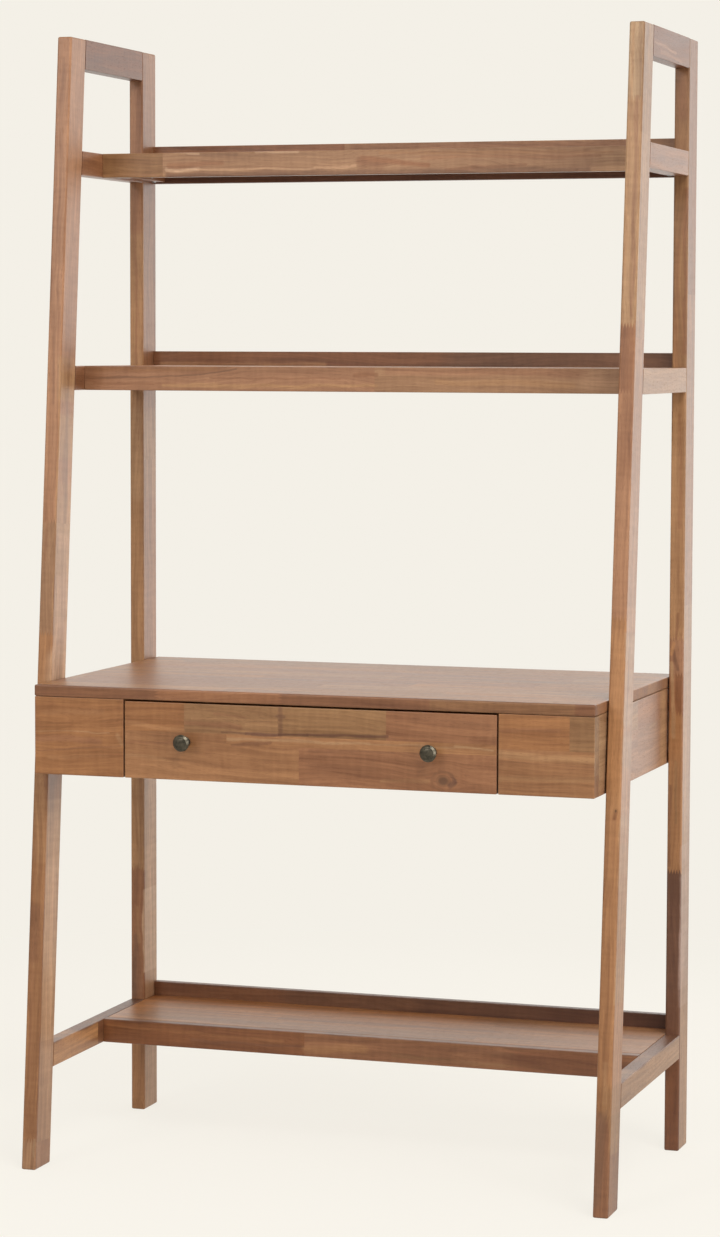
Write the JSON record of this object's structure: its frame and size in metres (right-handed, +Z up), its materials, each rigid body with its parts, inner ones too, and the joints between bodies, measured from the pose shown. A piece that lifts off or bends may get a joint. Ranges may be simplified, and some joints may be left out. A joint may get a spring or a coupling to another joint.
{
  "type": "ladder desk",
  "caption": "Free-standing ladder desk: raked side frames carry lipped shelf trays and a desk box whose drawer slides out on telescopic runners.",
  "frame": {"origin": "on the floor, in the middle of the width and of the whole depth, knobs included", "axes": "+X to the sitter's right, +Y towards the wall behind the desk, +Z up"},
  "size_m": [0.962, 0.5474, 1.8],
  "materials": {
    "leg_wood": "satin clear finish on finger-jointed acacia",
    "rail_wood": "satin clear finish on acacia",
    "board_wood": "satin clear finish on edge-glued acacia staves",
    "top_wood": "satin clear finish on edge-glued acacia staves",
    "bare_wood": "sanded, thinly lacquered pale wood",
    "bottom_ply": "thinly lacquered plywood",
    "runner_steel": "bright zinc plated",
    "bolt_steel": "dull zinc plated",
    "knob_bronze": "dark antiqued bronze, semi-gloss"
  },
  "bodies": {
    "desk": {"front_leg_left": "leg_wood", "front_leg_right": "leg_wood", "back_leg_left": "leg_wood", "back_leg_right": "leg_wood", "top_rail_left": "rail_wood", "top_rail_right": "rail_wood", "upper_shelf_rail_left": "rail_wood", "upper_shelf_rail_right": "rail_wood", "middle_shelf_rail_left": "rail_wood", "middle_shelf_rail_right": "rail_wood", "lower_shelf_rail_left": "rail_wood", "lower_shelf_rail_right": "rail_wood", "upper_shelf_panel": "board_wood", "upper_shelf_front_board": "board_wood", "upper_shelf_back_board": "board_wood", "upper_shelf_cleat_left": "bare_wood", "upper_shelf_cleat_right": "bare_wood", "middle_shelf_panel": "board_wood", "middle_shelf_front_board": "board_wood", "middle_shelf_back_board": "board_wood", "middle_shelf_cleat_left": "bare_wood", "middle_shelf_cleat_right": "bare_wood", "lower_shelf_panel": "board_wood", "lower_shelf_front_board": "board_wood", "lower_shelf_back_board": "board_wood", "lower_shelf_cleat_left": "bare_wood", "lower_shelf_cleat_right": "bare_wood", "desk_top": "top_wood", "desk_side_left": "board_wood", "desk_side_right": "board_wood", "desk_back": "board_wood", "front_panel_left": "board_wood", "front_panel_right": "board_wood", "drawer_divider_left": "bare_wood", "drawer_divider_right": "bare_wood", "desk_bolt_front_left_lower": "bolt_steel", "desk_bolt_front_left_upper": "bolt_steel", "desk_bolt_back_left_lower": "bolt_steel", "desk_bolt_back_left_upper": "bolt_steel", "desk_bolt_front_right_lower": "bolt_steel", "desk_bolt_front_right_upper": "bolt_steel", "desk_bolt_back_right_lower": "bolt_steel", "desk_bolt_back_right_upper": "bolt_steel", "runner_outer_left": "runner_steel", "runner_outer_right": "runner_steel"},
    "drawer": {"drawer_front": "board_wood", "drawer_inner_front": "bare_wood", "drawer_side_left": "bare_wood", "drawer_side_right": "bare_wood", "drawer_back": "bare_wood", "drawer_bottom": "bottom_ply", "knob_left": "knob_bronze", "knob_right": "knob_bronze", "knob_screw_left": "bolt_steel", "knob_screw_right": "bolt_steel", "runner_inner_left": "runner_steel", "runner_inner_right": "runner_steel"},
    "left_runner": {"runner_middle_left": "runner_steel"},
    "right_runner": {"runner_middle_right": "runner_steel"}
  },
  "joints": [
    {"name": "drawer_slide", "type": "slide", "parent": "desk", "child": "drawer", "axis": [0, -1, 0], "range_m": [0, 0.4]},
    {"name": "left_runner_slide", "type": "slide", "parent": "desk", "child": "left_runner", "axis": [0, -1, 0], "range_m": [0, 0.2]},
    {"name": "right_runner_slide", "type": "slide", "parent": "desk", "child": "right_runner", "axis": [0, -1, 0], "range_m": [0, 0.2]}
  ],
  "couplings": [
    {"joint": "left_runner_slide", "follows": "drawer_slide", "ratio": 0.5},
    {"joint": "right_runner_slide", "follows": "drawer_slide", "ratio": 0.5}
  ]
}
